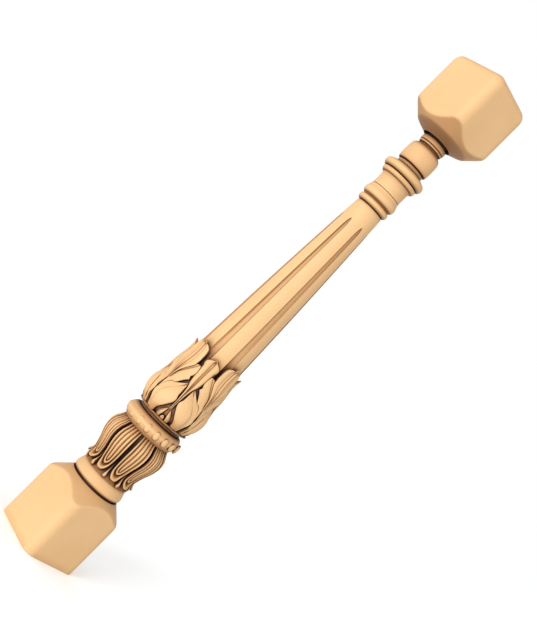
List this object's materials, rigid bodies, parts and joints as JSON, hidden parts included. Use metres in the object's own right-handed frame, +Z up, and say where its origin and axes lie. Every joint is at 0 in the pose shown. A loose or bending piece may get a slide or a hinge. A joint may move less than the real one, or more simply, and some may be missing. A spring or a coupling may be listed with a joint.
{
  "type": "stone baluster",
  "caption": "Carved baluster: square end blocks, tapering fluted shaft, leaf cup, beaded ring and lobed vase below, turned collars above.",
  "frame": {"origin": "centre of the underside of the bottom block", "axes": "+Z up along the baluster's axis; X and Y square to the flat faces of the blocks"},
  "size_m": [0.101, 0.101, 0.9],
  "materials": {
    "stone": "fine honed, honey coloured, darker in the recesses"
  },
  "bodies": {
    "root": {"baluster": "stone"}
  },
  "joints": []
}
